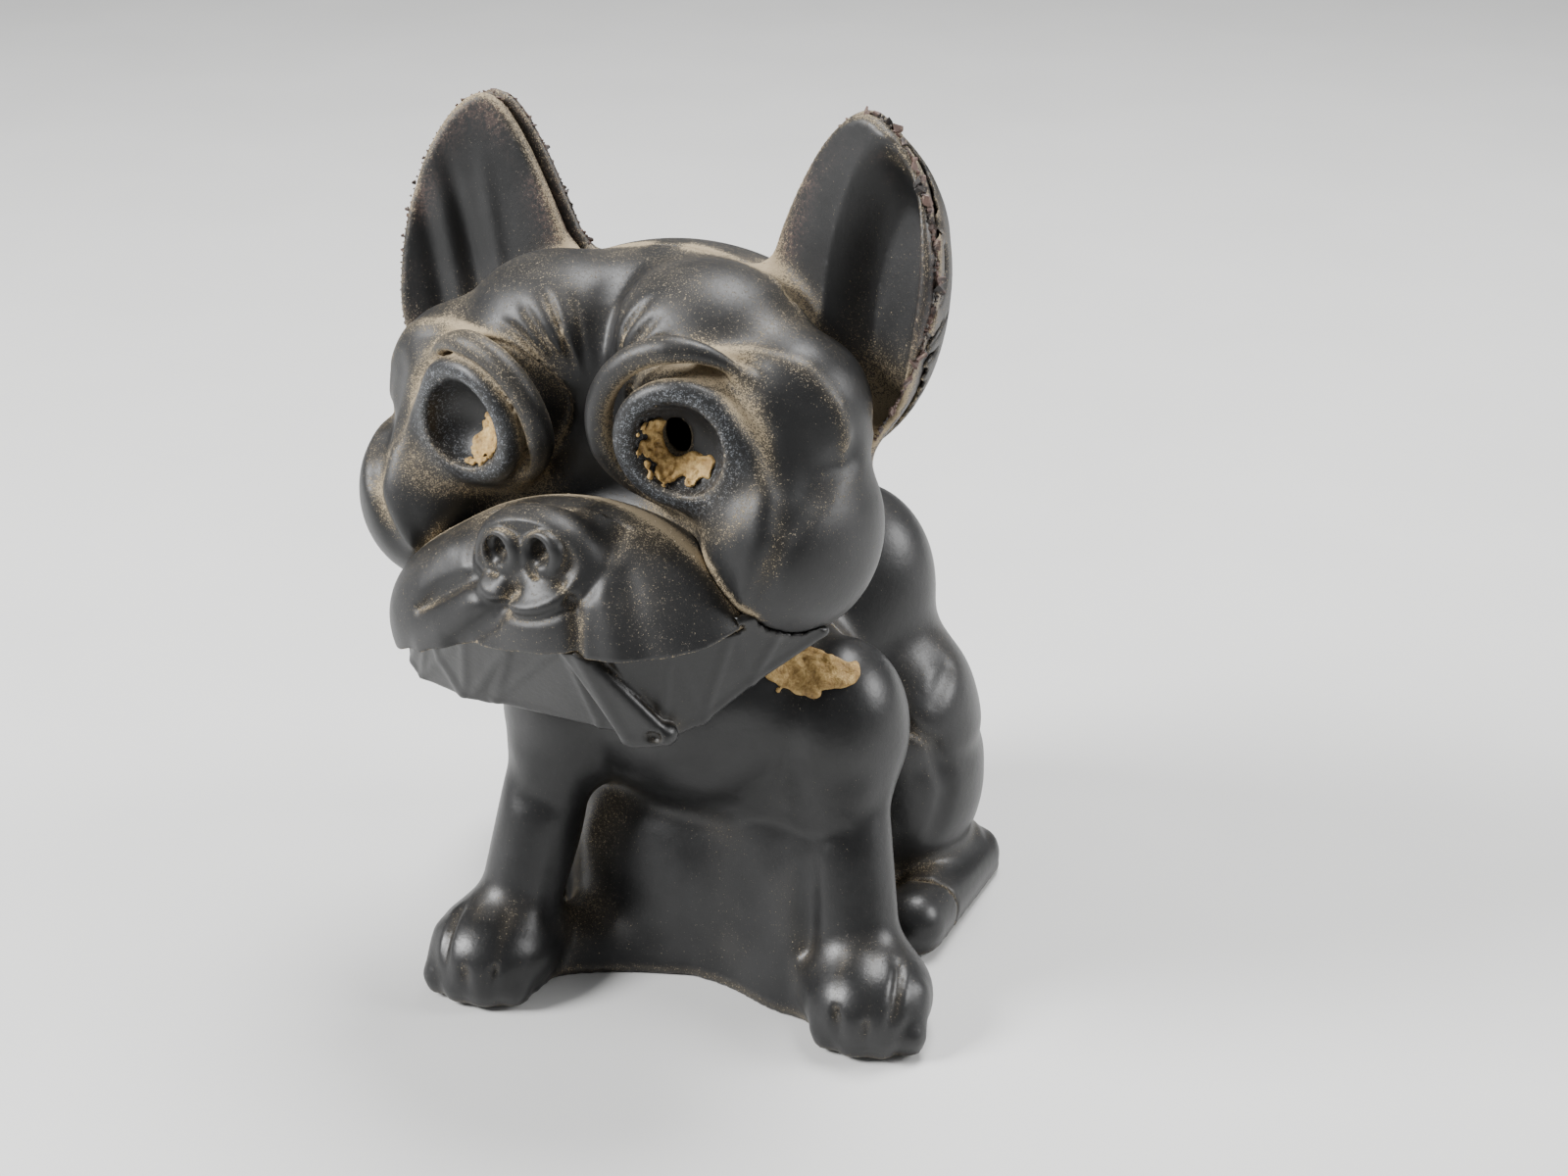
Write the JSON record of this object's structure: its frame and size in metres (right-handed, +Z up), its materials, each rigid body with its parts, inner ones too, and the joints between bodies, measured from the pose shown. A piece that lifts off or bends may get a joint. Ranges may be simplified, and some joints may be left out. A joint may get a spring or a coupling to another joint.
{
  "type": "figural animal coin bank",
  "caption": "Hollow moulded bulldog coin bank, seated, with a swivelling head, a coin slot in its back and a pull-out rubber trap plug in its base.",
  "frame": {"origin": "on the table, under the middle of the outline; the neck axis stands 3.9 mm to +X and 3.9 mm to +Y of it", "axes": "+Z up; the dog's body looks along -Y; +X is the dog's left"},
  "size_m": [0.0753, 0.0738, 0.1087],
  "materials": {
    "black_shell": "satin black moulded plastic, dusty in the creases",
    "cement": "dried amber cement",
    "rubber": "matt black rubber"
  },
  "bodies": {
    "body": {"body_front_shell": "black_shell", "body_rear_shell": "black_shell", "base_plate": "black_shell", "neck_spigot": "black_shell", "retaining_ring": "black_shell", "neck_cement": "cement"},
    "head": {"face_shell": "black_shell", "head_rear_shell": "black_shell", "muzzle": "black_shell", "lower_jaw": "black_shell", "throat_plate": "black_shell", "head_collar": "black_shell", "left_eye_cement": "cement", "right_eye_cement": "cement"},
    "trap": {"trap_plug": "rubber"}
  },
  "joints": [
    {"name": "head_turn", "type": "hinge", "parent": "body", "child": "head", "pos_m": [0.0039, 0.0039, 0.05], "axis": [0, 0, 1], "range_deg": [-9, 41]},
    {"name": "trap_pull", "type": "slide", "parent": "body", "child": "trap", "axis": [0, 0, -1], "range_m": [0, 0.02]}
  ]
}
